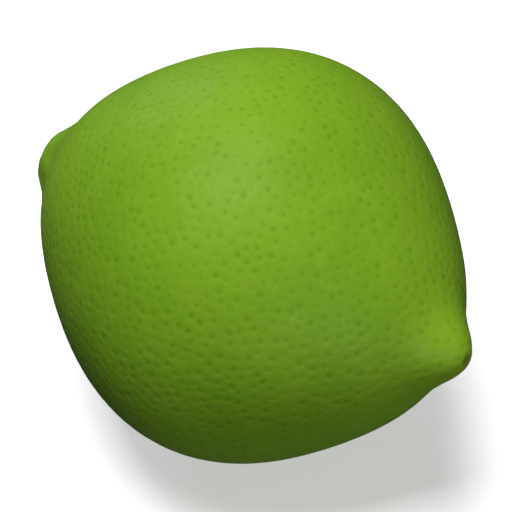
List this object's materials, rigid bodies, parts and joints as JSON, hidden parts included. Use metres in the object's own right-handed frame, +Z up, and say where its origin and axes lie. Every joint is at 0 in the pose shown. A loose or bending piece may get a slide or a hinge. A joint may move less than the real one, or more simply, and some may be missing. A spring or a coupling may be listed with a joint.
{
  "type": "lime",
  "caption": "Whole green lime lying on its side, with a blunt tip at the blossom end, a short neck with a stalk scar at the stem end, and a small flat spot to rest on.",
  "frame": {"origin": "middle of the fruit's base, on the surface that it rests on", "axes": "+X along the long axis towards the blossom end's tip, -X towards the stem end, +Z up as it lies on its side"},
  "size_m": [0.0618, 0.0508, 0.0504],
  "materials": {
    "rind": "satin"
  },
  "bodies": {
    "root": {"lime": "rind"}
  },
  "joints": []
}
